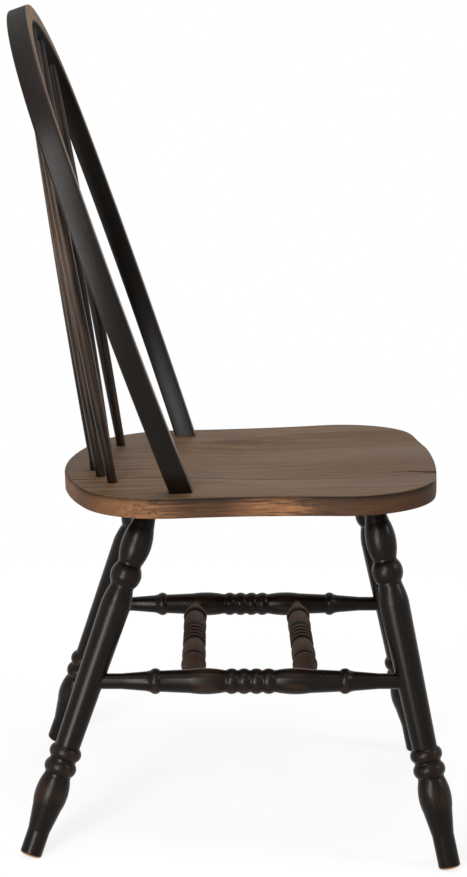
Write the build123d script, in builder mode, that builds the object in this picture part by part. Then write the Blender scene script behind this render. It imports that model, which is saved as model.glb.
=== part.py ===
from build123d import *
import os
from math import asin, cos, degrees, radians, sin, sqrt, tan

# Hoop-back windsor side chair: a saddled plank seat of three glued boards carries four raked,
# turned legs, a turned stretcher set, one bent bow and seven straight spindles.
# The chair faces -Y and stands on Z = 0. Left and right are the sitter's: left is +X.
# Lengths are in millimetres and angles in degrees.

os.makedirs("parts", exist_ok=True)

# Seat plank: drawn flat, then tilted so that the front edge stands higher than the rear
seat_height = 450.0  # top of the seat above the floor, at its middle
seat_tilt = 3.25
seat_centre_y = -22.0  # middle of the seat from the origin
seat_thickness = 24.0
seat_depth = 463.0
seat_width = 468.0  # across the front corners
seat_rear_width = 447.0  # across the rear corners
front_corner_y = 113.5  # front edge to the widest point in front
rear_corner_y = 135.5  # rear edge to the widest point behind
front_edge_radius = 1000.0
rear_edge_radius = 390.0
waist_radius = 850.0  # hollow of the sides, between the corners
seat_top_round = 4.0
seat_bottom_round = 3.0
middle_board_width = 194.0

# Saddle: two thigh hollows beside a low pommel, running out ahead of the bow and spindles
hollow_depth = 6.0
hollow_front_depth = 2.2  # depth of the hollows at the front edge
hollow_spread = 190.0  # between the middles of the two hollows
hollow_rear_spread = 120.0
pommel_drop = 0.6  # pommel below the plank's face at the front edge
saddle_lip = 1.5  # rim of the saddle's cutter above the plank's face
saddle_front_width = 300.0
saddle_width = 372.0
saddle_middle_width = 322.0
saddle_rear_width = 250.0
saddle_front_run = 90.0  # front edge to the full depth
saddle_middle = 210.0  # front edge to the middle of the saddle
saddle_end = 350.0  # front edge to where the saddle runs out

# Legs: one turned pattern, cut off at the floor
leg_side_inset = 95.6  # widest point of the seat to the leg's centre, at the underside
leg_front_inset = 86.4
leg_rear_inset = 110.2
leg_splay = 10.6  # sideways
leg_front_rake = 13.85
leg_rear_rake = 17.4
leg_tenon_dia = 22.0
leg_tenon_len = 15.0
throat_len = 9.5
vase_foot_len = 19.0
vase_foot_dia = 29.4
vase_len = 45.5
vase_crest = 24.0  # start of the vase to its widest point
vase_dia = 36.8
waist_len = 2.5
waist_dia = 28.6
ball_len = 26.0
ball_dia = 37.6
neck_len = 3.0
neck_dia = 28.8
shoulder_len = 22.5
shoulder_mid_dia = 33.8
shoulder_dia = 36.4
shaft_end_dia = 30.0
ring_len = 16.0
ring_dia = 39.0
ring_gap = 3.0
ring_gap_dia = 32.0
bulb_len = 39.0
bulb_crest = 20.0
bulb_dia = 39.6
bulb_end_dia = 35.2
ankle_len = 30.0
ankle_dia = 26.4
foot_len = 40.0  # straight foot of a front leg
foot_round = 3.0
foot_wear = 1.2  # how much of the lowest edge is worn flat on the floor

# Side stretchers, from front leg to rear leg
stretcher_drop = 224.0  # down the leg from the seat
side_tenon_dia = 18.8
side_tenon_past = 6.0  # end of the tenon beyond the leg's centre line
side_tenon_run = 38.0  # straight length up to the leg's centre line
side_ring_len = 12.8
side_ring_dia = 30.8
side_ring_gap = 2.0
side_ring_gap_dia = 27.2
side_swell_len = 42.0
side_swell_crest = 17.5
side_swell_dia = 31.2
side_swell_end_dia = 28.6
side_bead_len = 15.0
side_bead_dia = 31.4
side_bead_edge_dia = 25.2

# Cross stretchers, between the two side stretchers
cross_spread = 137.0  # between the two cross stretchers
cross_tenon_dia = 16.0
cross_tenon_past = 5.0
cross_tenon_run = 22.0
cross_ring_len = 12.4
cross_ring_dia = 29.4
cross_ring_gap = 2.0
cross_ring_gap_dia = 26.6
cross_barrel_dia = 30.0
cross_barrel_end_dia = 27.0
cross_shoulder_len = 8.0
cross_shoulder_dia = 30.6
cross_taper_len = 44.0
rings_per_half = 2  # rings each side of a stretcher's middle

# Bow: flat-sided hoop, bent in one leaning plane
bow_lean = 21.15
bow_setback = 149.0  # rear edge of the seat to the bow's feet
bow_foot_inset = 40.5  # widest point of the seat behind to the middle of the bow's foot
bow_flare = 55.0  # how far the hoop swings out past its feet
bow_widest = 285.0  # height of the widest point, along the hoop's plane
bow_rise = 584.0  # height of the crown, along the hoop's plane
bow_shoulder_drop = 163.5  # crown down to where the sides turn into the shoulders
bow_crown_angle = 60.0  # where the shoulders turn into the crown, from the level
bow_thickness = 21.0  # across the hoop's edge
bow_depth = 26.0  # front to rear
bow_edge_round = 4.0
bow_tenon_dia = 18.0
bow_tenon_len = 15.0

# Spindles
spindle_count = 7
spindle_pitch_seat = 40.0
spindle_pitch_bow = 54.0
spindle_setback = 37.0  # rear edge of the seat to the middle spindle
spindle_row_radius = 270.0
spindle_forward = 3.0  # tops ahead of the middle of the bow
spindle_foot_dia = 11.6
spindle_swell_dia = 15.6
spindle_top_dia = 10.4
spindle_foot_len = 15.0  # length inside the seat
spindle_foot_run = 24.0  # straight length at the foot
spindle_swell_height = 215.0  # lower end to the thickest point
spindle_top_run = 24.0  # straight length at the top

# Screws that draw the bow's feet down, driven from pockets under the seat
screw_dia = 4.2
screw_tip_len = 5.0
screw_head_dia = 8.2
screw_head_len = 3.0
screw_grip = 13.0  # length in the bow's tenon
screw_wall = 7.0  # wood between pocket and tenon
screw_pocket_dia = 10.0

glue_gap = 0.1  # round a tenon, on the radius
cut_over = 45.0  # how far cutters reach past what they cut

seat_plane = Plane(
    origin=(0, seat_centre_y, seat_height),
    x_dir=(1, 0, 0),
    z_dir=(0, sin(radians(seat_tilt)), cos(radians(seat_tilt))),
)
seat_front = -seat_depth / 2
seat_rear = seat_depth / 2


def on_seat(x, y, drop=0.0):
    """Point on the plank's flat face, or below it, in the chair's frame."""
    return seat_plane.from_local_coords(Vector(x, y, -drop))


def along(origin, direction, across):
    """Plane whose X axis runs along a turned piece, for drawing half of its outline."""
    return Plane(origin=origin, x_dir=direction, z_dir=direction.cross(Vector(across)))


def bore(origin, direction, diameter, length):
    """Cut a round hole for a piece of this diameter, from a flat end at the origin."""
    with BuildSketch(Plane(origin=origin, z_dir=direction)) as mouth:
        Circle(diameter / 2 + glue_gap)
    extrude(mouth.sketch, amount=length, mode=Mode.SUBTRACT)


def bead(start, length, start_dia, dia, end_dia, crest=None):
    """Draw a rounded swelling of a turned outline and return where it ends."""
    top = start + (length / 2 if crest is None else crest)
    end = start + length
    ThreePointArc((start, start_dia / 2), (top, dia / 2), (end, end_dia / 2))
    return end


def run(start, length, start_dia, end_dia):
    """Draw a straight or tapering stretch of a turned outline and return where it ends."""
    Line((start, start_dia / 2), (start + length, end_dia / 2))
    return start + length


def half_rings(ring, gap, ring_dia, gap_dia):
    """Draw the rings on one side of a stretcher's middle and return where they end."""
    x = run(0, gap / 2, gap_dia, gap_dia)
    for _ in range(rings_per_half):
        x = bead(x, ring, gap_dia, ring_dia, gap_dia)
        x = run(x, gap, gap_dia, gap_dia)
    return x


def close(start, start_dia, end, end_dia):
    """Close a turned outline along its centre line."""
    Polyline((end, end_dia / 2), (end, 0), (start, 0), (start, start_dia / 2))


def write(piece, name):
    """Label a finished piece and write its file."""
    piece.part.label = name
    export_step(piece.part, f"parts/{name}.step")


# Leg lines: centre at the seat's underside, and direction down to the floor
leg_lines = {}
for end, rake, y in (
    ("front", -leg_front_rake, seat_front + leg_front_inset),
    ("rear", leg_rear_rake, seat_rear - leg_rear_inset),
):
    for hand, side in (("right", -1), ("left", 1)):
        top = on_seat(side * (seat_width / 2 - leg_side_inset), y, seat_thickness)
        down = Vector(side * tan(radians(leg_splay)), tan(radians(rake)), -1).normalized()
        leg_lines[end, hand] = (top, down)

# Side stretcher lines: middle, direction to the front, and half length between leg centres
side_lines = {}
for hand in ("right", "left"):
    rear_top, rear_down = leg_lines["rear", hand]
    front_top, front_down = leg_lines["front", hand]
    rear_end = rear_top + rear_down * stretcher_drop
    front_end = front_top + front_down * stretcher_drop
    span = front_end - rear_end
    side_lines[hand] = ((rear_end + front_end) * 0.5, span.normalized(), span.length / 2)

# Cross stretcher lines: where each meets the centre lines of the side stretchers
cross_lines = {}
for end, step in (("front", cross_spread / 2), ("rear", -cross_spread / 2)):
    cross_lines[end] = {
        hand: middle + forward * step for hand, (middle, forward, _) in side_lines.items()
    }

# Bow lines: a side arc from foot to shoulder, a shoulder arc and half of the crown, all tangent
bow_plane = Plane(
    origin=on_seat(0, seat_rear - bow_setback),
    x_dir=(1, 0, 0),
    z_dir=(0, -cos(radians(bow_lean)), sin(radians(bow_lean))),
)
bow_foot_x = seat_rear_width / 2 - bow_foot_inset
side_radius = (bow_flare**2 + bow_widest**2) / (2 * bow_flare)
side_centre = Vector(bow_foot_x + bow_flare - side_radius, bow_widest)
foot_angle = -asin(bow_widest / side_radius)
tail_angle = foot_angle - cut_over / side_radius
shoulder_angle = asin((bow_rise - bow_shoulder_drop - bow_widest) / side_radius)
crown_angle = radians(bow_crown_angle)
shoulder_x = side_centre.X + side_radius * cos(shoulder_angle)
shoulder_radius = (bow_shoulder_drop * cos(crown_angle) - (1 - sin(crown_angle)) * shoulder_x) / (
    sin(crown_angle - shoulder_angle) + cos(crown_angle) - cos(shoulder_angle)
)
crown_radius = (
    shoulder_x - shoulder_radius * (cos(shoulder_angle) - cos(crown_angle))
) / cos(crown_angle)
shoulder_centre = side_centre + Vector(cos(shoulder_angle), sin(shoulder_angle)) * (
    side_radius - shoulder_radius
)
crown_centre = Vector(0, bow_rise - crown_radius)


def bow_height(x):
    """Height of the hoop's middle line above the seat, along its plane, at a distance sideways."""
    if abs(x) < crown_radius * cos(crown_angle):
        return crown_centre.Y + sqrt(crown_radius**2 - x**2)
    return shoulder_centre.Y + sqrt(shoulder_radius**2 - (abs(x) - shoulder_centre.X) ** 2)


# Bow feet: middle of each foot on the seat, and direction down into it
bow_feet = []
for side in (-1, 1):
    foot = bow_plane.from_local_coords(Vector(side * bow_foot_x, 0, 0))
    inward = bow_plane.x_dir * (side * sin(foot_angle))
    downward = bow_plane.y_dir * -cos(foot_angle)
    bow_feet.append((foot, inward + downward))

# Spindle lines: end inside the seat, end inside the bow, and direction up
spindle_lines = []
for i in range(spindle_count):
    n = i - (spindle_count - 1) / 2
    x = n * spindle_pitch_seat
    row_drop = spindle_row_radius - sqrt(spindle_row_radius**2 - x**2)
    seat_point = on_seat(x, seat_rear - spindle_setback - row_drop)
    x = n * spindle_pitch_bow
    bow_point = bow_plane.from_local_coords(Vector(x, bow_height(x), spindle_forward))
    up = (bow_point - seat_point).normalized()
    spindle_lines.append((seat_point - up * spindle_foot_len, bow_point, up))

# Plank with its saddle and sockets, before it is parted into boards
def corner_radius(half_width, setback, edge_radius):
    """Radius that runs from an edge's arc into the seat's widest point beside it."""
    reach = setback * (2 * edge_radius - setback) - half_width**2
    return reach / (2 * (edge_radius - half_width))


front_half = seat_width / 2
rear_half = seat_rear_width / 2
front_corner_radius = corner_radius(front_half, front_corner_y, front_edge_radius)
rear_corner_radius = corner_radius(rear_half, rear_corner_y, rear_edge_radius)
front_edge = Vector(0, seat_front + front_edge_radius)
front_corner = Vector(front_half - front_corner_radius, seat_front + front_corner_y)
rear_corner = Vector(rear_half - rear_corner_radius, seat_rear - rear_corner_y)
rear_edge = Vector(0, seat_rear - rear_edge_radius)

# The waist's centre lies outside the seat, one radius from each corner's arc
front_reach = front_corner_radius + waist_radius
rear_reach = rear_corner_radius + waist_radius
between = rear_corner - front_corner
foot_of_waist = (between.length**2 + front_reach**2 - rear_reach**2) / (2 * between.length)
out_of_waist = sqrt(front_reach**2 - foot_of_waist**2)
ahead = between.normalized()
waist = front_corner + ahead * foot_of_waist + Vector(ahead.Y, -ahead.X) * out_of_waist

# Each section of the saddle: from the front edge, width, hollows' spread and depth, pommel's depth
saddle = [
    (-cut_over, saddle_front_width, hollow_spread, hollow_front_depth, pommel_drop),
    (saddle_front_run, saddle_width, hollow_spread, hollow_depth, hollow_front_depth),
    (saddle_middle, saddle_middle_width, hollow_spread, hollow_depth, hollow_depth),
    (saddle_end, saddle_rear_width, hollow_rear_spread, -pommel_drop, -pommel_drop),
]

with BuildPart() as plank:
    with BuildSketch(seat_plane.offset(-seat_thickness)):
        with BuildLine():
            meetings = [
                Vector(0, seat_front),
                front_edge + (front_corner - front_edge).normalized() * front_edge_radius,
                front_corner + (waist - front_corner).normalized() * front_corner_radius,
                rear_corner + (waist - rear_corner).normalized() * rear_corner_radius,
                rear_edge + (rear_corner - rear_edge).normalized() * rear_edge_radius,
                Vector(0, seat_rear),
            ]
            heading = Vector(1, 0)
            for start, end in zip(meetings, meetings[1:]):
                arc = TangentArc(start, end, tangent=heading)
                heading = arc % 1
            mirror(about=Plane.YZ)
        make_face()
    extrude(amount=seat_thickness)
    upward = Axis(seat_plane.origin, seat_plane.z_dir)
    fillet(plank.faces().sort_by(upward)[-1].edges(), radius=seat_top_round)
    fillet(plank.faces().sort_by(upward)[0].edges(), radius=seat_bottom_round)
    for distance, width, spread, depth, ridge in saddle:
        section = Plane(
            origin=on_seat(0, seat_front + distance), x_dir=(1, 0, 0), z_dir=-seat_plane.y_dir
        )
        with BuildSketch(section):
            with BuildLine():
                Spline(
                    (-width / 2, saddle_lip),
                    (-spread / 2, -depth),
                    (0, -ridge),
                    (spread / 2, -depth),
                    (width / 2, saddle_lip),
                )
                Polyline(
                    (width / 2, saddle_lip),
                    (width / 2, cut_over),
                    (-width / 2, cut_over),
                    (-width / 2, saddle_lip),
                )
            make_face()
    loft(mode=Mode.SUBTRACT)
    for top, down in leg_lines.values():
        bore(top - down * leg_tenon_len, down, leg_tenon_dia, leg_tenon_len + cut_over)
    for foot, bow_point, up in spindle_lines:
        bore(foot, up, spindle_foot_dia, spindle_foot_len + cut_over)
    for foot, inward in bow_feet:
        tenon_end = foot + inward * bow_tenon_len
        bore(tenon_end, -inward, bow_tenon_dia, bow_tenon_len + cut_over)
        bore(tenon_end - inward * screw_dia, inward, screw_dia, screw_dia + screw_wall + cut_over)
        bore(tenon_end + inward * screw_wall, inward, screw_pocket_dia, cut_over)

left_joint = Plane.YZ.offset(middle_board_width / 2)
right_joint = Plane.YZ.offset(-middle_board_width / 2)

with BuildPart() as seat_board_left:
    add(plank.part)
    split(bisect_by=left_joint, keep=Keep.TOP)
write(seat_board_left, "seat_board_left")

with BuildPart() as seat_board_middle:
    add(plank.part)
    split(bisect_by=left_joint, keep=Keep.BOTTOM)
    split(bisect_by=right_joint, keep=Keep.TOP)
write(seat_board_middle, "seat_board_middle")

with BuildPart() as seat_board_right:
    add(plank.part)
    split(bisect_by=right_joint, keep=Keep.BOTTOM)
write(seat_board_right, "seat_board_right")

# Legs: square ends stand on their worn inner edge, and the shaft takes up the spare length
def leg_length(top, down):
    """Length from the seat's underside to the middle of the leg's square end."""
    slope = sqrt(1 - down.Z**2)
    end_height = (ankle_dia / 2 - foot_round) * slope + foot_round * (1 + down.Z) - foot_wear
    return (top.Z - end_height) / -down.Z


turned_len = throat_len + vase_foot_len + vase_len + waist_len + ball_len + neck_len + shoulder_len
turned_len += 2 * (ring_len + ring_gap) + bulb_len + ankle_len
shaft_len = leg_length(*leg_lines["front", "left"]) - turned_len - foot_len

for (end, hand), (top, down) in leg_lines.items():
    middle, forward, half_span = side_lines[hand]
    inward = forward if end == "rear" else -forward
    stretcher_end = middle - inward * (half_span + side_tenon_past)
    with BuildPart() as leg:
        with BuildSketch(along(top, down, (0, 1, 0))):
            with BuildLine():
                x = run(-leg_tenon_len, leg_tenon_len + throat_len, leg_tenon_dia, leg_tenon_dia)
                x = run(x, vase_foot_len, leg_tenon_dia, vase_foot_dia)
                x = bead(x, vase_len, vase_foot_dia, vase_dia, waist_dia, vase_crest)
                x = run(x, waist_len, waist_dia, waist_dia)
                x = bead(x, ball_len, waist_dia, ball_dia, neck_dia)
                x = run(x, neck_len, neck_dia, neck_dia)
                x = bead(x, shoulder_len, neck_dia, shoulder_mid_dia, shoulder_dia)
                x = run(x, shaft_len, shoulder_dia, shaft_end_dia)
                x = bead(x, ring_len, shaft_end_dia, ring_dia, ring_gap_dia)
                x = run(x, ring_gap, ring_gap_dia, ring_gap_dia)
                x = bead(x, ring_len, ring_gap_dia, ring_dia, ring_gap_dia)
                x = run(x, ring_gap, ring_gap_dia, ring_gap_dia)
                x = bead(x, bulb_len, ring_gap_dia, bulb_dia, bulb_end_dia, bulb_crest)
                x = run(x, ankle_len, bulb_end_dia, ankle_dia)
                x = run(x, leg_length(top, down) - x - foot_round, ankle_dia, ankle_dia)
                JernArc((x, ankle_dia / 2), (1, 0), radius=foot_round, arc_size=-90)
                close(
                    -leg_tenon_len, leg_tenon_dia, x + foot_round, ankle_dia - 2 * foot_round
                )
            make_face()
        revolve(axis=Axis(top, down))
        split(bisect_by=Plane.XY, keep=Keep.TOP)
        bore(stretcher_end, inward, side_tenon_dia, side_tenon_past + cut_over)
    write(leg, f"leg_{end}_{hand}")

# Side stretchers: half is turned, then mirrored about its middle
for hand, (middle, forward, half_span) in side_lines.items():
    with BuildPart() as side_stretcher:
        with BuildSketch(along(middle, forward, (0, 0, 1))):
            with BuildLine():
                x = half_rings(side_ring_len, side_ring_gap, side_ring_dia, side_ring_gap_dia)
                x = bead(
                    x,
                    side_swell_len,
                    side_ring_gap_dia,
                    side_swell_dia,
                    side_swell_end_dia,
                    side_swell_crest,
                )
                waist = (half_span - side_tenon_run - x - side_bead_len) / 2
                x = run(x, waist, side_swell_end_dia, side_bead_edge_dia)
                x = bead(x, side_bead_len, side_bead_edge_dia, side_bead_dia, side_bead_edge_dia)
                x = run(x, waist, side_bead_edge_dia, side_tenon_dia)
                x = run(x, side_tenon_run + side_tenon_past, side_tenon_dia, side_tenon_dia)
                close(0, side_ring_gap_dia, x, side_tenon_dia)
            make_face()
        revolve(axis=Axis(middle, forward))
        mirror(about=Plane(origin=middle, z_dir=forward))
        for ends in cross_lines.values():
            inward = (ends["left"] - ends["right"]).normalized()
            if hand == "left":
                inward = -inward
            bore(ends[hand] - inward * cross_tenon_past, inward, cross_tenon_dia, cut_over)
    write(side_stretcher, f"side_stretcher_{hand}")

# Cross stretchers: half is turned, then mirrored about its middle
for end, ends in cross_lines.items():
    middle = (ends["left"] + ends["right"]) * 0.5
    sideways = (ends["left"] - ends["right"]).normalized()
    half_span = (ends["left"] - ends["right"]).length / 2
    with BuildPart() as cross_stretcher:
        with BuildSketch(along(middle, sideways, (0, 0, 1))):
            with BuildLine():
                x = half_rings(cross_ring_len, cross_ring_gap, cross_ring_dia, cross_ring_gap_dia)
                taper_start = half_span - cross_tenon_run - cross_taper_len
                barrel_len = taper_start - cross_shoulder_len - cross_ring_gap - x
                x = bead(
                    x, barrel_len, cross_ring_gap_dia, cross_barrel_dia, cross_barrel_end_dia
                )
                x = run(x, cross_ring_gap, cross_barrel_end_dia, cross_barrel_end_dia)
                x = run(x, cross_shoulder_len, cross_barrel_end_dia, cross_shoulder_dia)
                x = run(x, cross_taper_len, cross_shoulder_dia, cross_tenon_dia)
                x = run(x, cross_tenon_run + cross_tenon_past, cross_tenon_dia, cross_tenon_dia)
                close(0, cross_ring_gap_dia, x, cross_tenon_dia)
            make_face()
        revolve(axis=Axis(middle, sideways))
        mirror(about=Plane(origin=middle, z_dir=sideways))
    write(cross_stretcher, f"cross_stretcher_{end}")

# Bow: the hoop runs on below the seat's face, is cut off there and gets its tenons
with BuildPart() as bow:
    with BuildSketch(bow_plane):
        with BuildLine():
            for face in (-bow_thickness / 2, bow_thickness / 2):
                for centre, radius, start, end in (
                    (side_centre, side_radius, tail_angle, shoulder_angle),
                    (shoulder_centre, shoulder_radius, shoulder_angle, crown_angle),
                    (crown_centre, crown_radius, crown_angle, radians(90)),
                ):
                    CenterArc(centre, radius + face, degrees(start), degrees(end - start))
            outward = Vector(cos(tail_angle), sin(tail_angle))
            Line(
                side_centre + outward * (side_radius - bow_thickness / 2),
                side_centre + outward * (side_radius + bow_thickness / 2),
            )
            mirror(about=Plane.YZ)
        make_face()
    extrude(amount=bow_depth / 2, both=True)
    split(bisect_by=seat_plane, keep=Keep.TOP)
    fillet(bow.edges().filter_by(GeomType.CIRCLE), radius=bow_edge_round)
    for foot, inward in bow_feet:
        with BuildSketch(Plane(origin=foot - inward * bow_tenon_dia, z_dir=inward)):
            Circle(bow_tenon_dia / 2)
        extrude(amount=bow_tenon_dia + bow_tenon_len)
        bore(
            foot + inward * (bow_tenon_len - screw_grip), inward, screw_dia, screw_grip + cut_over
        )
    for foot, bow_point, up in spindle_lines:
        bore(bow_point, -up, spindle_top_dia, cut_over)
write(bow, "bow")

# Spindles, from the right of the chair to the left
for i, (foot, bow_point, up) in enumerate(spindle_lines):
    length = (bow_point - foot).length
    swell_len = length - spindle_foot_run - spindle_top_run
    swell_crest = spindle_swell_height - spindle_foot_run
    with BuildPart() as spindle:
        with BuildSketch(along(foot, up, (0, 1, 0))):
            with BuildLine():
                x = run(0, spindle_foot_run, spindle_foot_dia, spindle_foot_dia)
                x = bead(
                    x, swell_len, spindle_foot_dia, spindle_swell_dia, spindle_top_dia, swell_crest
                )
                x = run(x, spindle_top_run, spindle_top_dia, spindle_top_dia)
                close(0, spindle_foot_dia, x, spindle_top_dia)
            make_face()
        revolve(axis=Axis(foot, up))
    write(spindle, f"spindle_{i + 1}")

# Bow screws: one pair, head down in the pockets under the seat
with BuildPart() as bow_screws:
    for foot, inward in bow_feet:
        tip = foot + inward * (bow_tenon_len - screw_grip)
        with BuildSketch(along(tip, inward, (0, 1, 0))):
            with BuildLine():
                x = run(0, screw_tip_len, 0, screw_dia)
                x = run(x, screw_grip + screw_wall - screw_tip_len, screw_dia, screw_dia)
                Line((x, screw_dia / 2), (x, screw_head_dia / 2))
                x = run(x, screw_head_len, screw_head_dia, screw_head_dia)
                Polyline((x, screw_head_dia / 2), (x, 0), (0, 0))
            make_face()
        revolve(axis=Axis(tip, inward))
write(bow_screws, "bow_screws")
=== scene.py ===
"""Finishes, light and camera for a hoop-back windsor side chair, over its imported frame."""

import logging
from dataclasses import dataclass, field, replace
from enum import Enum
from functools import cached_property
from math import asin, atan2, cos, hypot, pi, radians, sin
from typing import ClassVar

import bmesh
import bpy
import numpy as np
from mathutils import Color, Matrix, Vector


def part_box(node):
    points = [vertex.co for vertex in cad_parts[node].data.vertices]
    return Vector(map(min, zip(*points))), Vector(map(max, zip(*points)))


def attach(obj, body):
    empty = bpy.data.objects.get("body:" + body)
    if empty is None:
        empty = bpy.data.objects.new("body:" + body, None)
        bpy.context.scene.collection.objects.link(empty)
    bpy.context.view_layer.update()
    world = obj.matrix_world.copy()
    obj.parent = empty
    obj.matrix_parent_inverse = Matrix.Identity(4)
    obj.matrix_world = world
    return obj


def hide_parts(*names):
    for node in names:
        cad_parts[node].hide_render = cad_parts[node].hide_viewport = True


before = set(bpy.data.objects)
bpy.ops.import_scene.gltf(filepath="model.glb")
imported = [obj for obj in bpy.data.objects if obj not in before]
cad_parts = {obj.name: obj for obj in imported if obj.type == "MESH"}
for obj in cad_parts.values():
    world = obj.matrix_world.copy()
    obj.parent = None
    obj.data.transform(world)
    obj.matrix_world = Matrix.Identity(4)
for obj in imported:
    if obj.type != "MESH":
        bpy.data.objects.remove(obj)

log = logging.getLogger("windsor_chair")

Colour = tuple[float, float, float]
Triple = tuple[float, float, float]
Span = tuple[float, float]
BODY = "root"
DISPLAY_WHITE = 255
SHARP_ANGLE = 35.0
WHITE = (1.0, 1.0, 1.0, 1.0)


class Hand(Enum):
    """A side of the chair, as the sitter has it."""

    LEFT = "left"
    RIGHT = "right"


class End(Enum):
    """The front or the rear of the chair."""

    FRONT = "front"
    REAR = "rear"


def linear(colour: Colour) -> tuple[float, float, float, float]:
    """Turn a display colour into the linear colour that a socket takes.

    Args:
        colour: Red, green and blue, from 0 to 255.

    Returns:
        Linear red, green and blue with full alpha.
    """
    display = Color([value / DISPLAY_WHITE for value in colour])
    return (*display.from_srgb_to_scene_linear(), 1.0)


@dataclass(frozen=True)
class Value:
    """A number that changes over a surface: an output socket with arithmetic."""

    nodes: "NodeBook"
    socket: bpy.types.NodeSocket

    def __add__(self, other: "Number") -> "Value":
        """Sum of two values."""
        return self.nodes.math("ADD", self, other)

    def __sub__(self, other: "Number") -> "Value":
        """Difference of two values."""
        return self.nodes.math("SUBTRACT", self, other)

    def __mul__(self, other: "Number") -> "Value":
        """Product of two values."""
        return self.nodes.math("MULTIPLY", self, other)

    def __pow__(self, other: "Number") -> "Value":
        """Power of a value."""
        return self.nodes.math("POWER", self, other)

    def __radd__(self, other: float) -> "Value":
        """Sum with a number on the left."""
        return self.nodes.math("ADD", other, self)

    def __rsub__(self, other: float) -> "Value":
        """Difference with a number on the left."""
        return self.nodes.math("SUBTRACT", other, self)

    def __rmul__(self, other: float) -> "Value":
        """Product with a number on the left."""
        return self.nodes.math("MULTIPLY", other, self)

    def __abs__(self) -> "Value":
        """Size of a value without its sign."""
        return self.nodes.math("ABSOLUTE", self)

    def most(self, other: "Number") -> "Value":
        """The larger of two values."""
        return self.nodes.math("MAXIMUM", self, other)

    def between(self, low: float, high: float) -> "Value":
        """Run from one number, where the value is 0, to another, where it is 1."""
        return low + (high - low) * self

    def step(self, low: float, high: float) -> "Value":
        """Rise smoothly from 0 at one value to 1 at another.

        Args:
            low: Value that gives 0.
            high: Value that gives 1; it may lie below the first.

        Returns:
            The smooth step.
        """
        rising = low < high
        stops = (low, high, 0.0, 1.0) if rising else (high, low, 1.0, 0.0)
        keys = ("From Min", "From Max", "To Min", "To Max")
        sockets = dict(zip(keys, stops)) | {"Value": self}
        return self.nodes.value("ShaderNodeMapRange", {"interpolation_type": "SMOOTHSTEP"}, sockets)


Number = Value | float


@dataclass(frozen=True)
class NodeBook:
    """Writes nodes into one tree."""

    tree: bpy.types.NodeTree

    def join(self, node: bpy.types.Node, sockets: dict) -> None:
        """Set or link inputs of a node.

        Args:
            node: The node.
            sockets: Values or links, by the input's name or number.
        """
        for key, entry in sockets.items():
            if isinstance(entry, Value):
                self.tree.links.new(entry.socket, node.inputs[key])
            else:
                node.inputs[key].default_value = entry

    def add(self, kind: str, settings: dict | None = None, sockets: dict | None = None) -> bpy.types.Node:
        """Make a node, set it up and join its inputs.

        Args:
            kind: The node's type.
            settings: Properties of the node, set first.
            sockets: Values or links, by the input's name or number.

        Returns:
            The new node.
        """
        node = self.tree.nodes.new(kind)
        for key, setting in (settings or {}).items():
            setattr(node, key, setting)
        self.join(node, sockets or {})
        return node

    def value(
        self, kind: str, settings: dict | None = None, sockets: dict | None = None, output: int | str = 0
    ) -> Value:
        """Make a node and wrap one of its outputs.

        Args:
            kind: The node's type.
            settings: Properties of the node.
            sockets: Values or links, by the input's name or number.
            output: Name or number of the output.

        Returns:
            The wrapped output.
        """
        return Value(self, self.add(kind, settings, sockets).outputs[output])

    def math(self, operation: str, *terms: Number) -> Value:
        """Make a Math node.

        Args:
            operation: What the node works out.
            terms: Its values, in order.

        Returns:
            The result.
        """
        return self.value("ShaderNodeMath", {"operation": operation}, dict(enumerate(terms)))

    def mix(self, share: Number, first: Value | tuple, second: Value | tuple) -> Value:
        """Blend two colours.

        Args:
            share: 0 gives the first, 1 the second.
            first: A colour or a link.
            second: A colour or a link.

        Returns:
            The blended colour.
        """
        return self.value("ShaderNodeMix", {"data_type": "RGBA"}, {0: share, 6: first, 7: second}, 2)

    def axes(self, place: Value) -> list[Value]:
        """The three coordinates of a place, each by itself."""
        parts = self.add("ShaderNodeSeparateXYZ", {}, {0: place})
        return [Value(self, part) for part in parts.outputs]

    def dot(self, first: Value, second: Vector) -> Value:
        """How far one direction points along another, from -1 to 1.

        Args:
            first: A direction that changes over a surface.
            second: A fixed direction.

        Returns:
            Their dot product.
        """
        sockets = {0: first, 1: second}
        return self.value("ShaderNodeVectorMath", {"operation": "DOT_PRODUCT"}, sockets, "Value")

    def shift(self, place: Value, by: Triple) -> Value:
        """Move coordinates, so that a pattern falls elsewhere.

        Args:
            place: Coordinates.
            by: Distance along each axis.

        Returns:
            The moved coordinates.
        """
        return self.value("ShaderNodeVectorMath", {"operation": "ADD"}, {0: place, 1: by})

    def stretch(self, place: Value, by: Triple) -> Value:
        """Scale coordinates, each axis by its own factor.

        Args:
            place: Coordinates.
            by: Factor along each axis; a small one draws a pattern out.

        Returns:
            The scaled coordinates.
        """
        return self.value("ShaderNodeVectorMath", {"operation": "MULTIPLY"}, {0: place, 1: by})


@dataclass(frozen=True)
class Pattern:
    """Cloudy noise, perhaps drawn out along the grain."""

    scale: float
    draw: Triple = (1.0, 1.0, 1.0)
    detail: float = 2.0
    rough: float = 0.6

    def on(self, nodes: NodeBook, place: Value) -> Value:
        """Lay the pattern over a surface.

        Args:
            nodes: The material's nodes.
            place: Coordinates whose Z runs along the grain.

        Returns:
            The noise, from 0 to 1.
        """
        sockets = {
            "Vector": nodes.stretch(place, self.draw),
            "Scale": self.scale,
            "Detail": self.detail,
            "Roughness": self.rough,
        }
        return nodes.value("ShaderNodeTexNoise", {}, sockets)


def blend(shares: Triple, values: list[Value]) -> Value:
    """Add three values, each by its own share."""
    first, second, third = (share * value for share, value in zip(shares, values))
    return first + second + third


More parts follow.
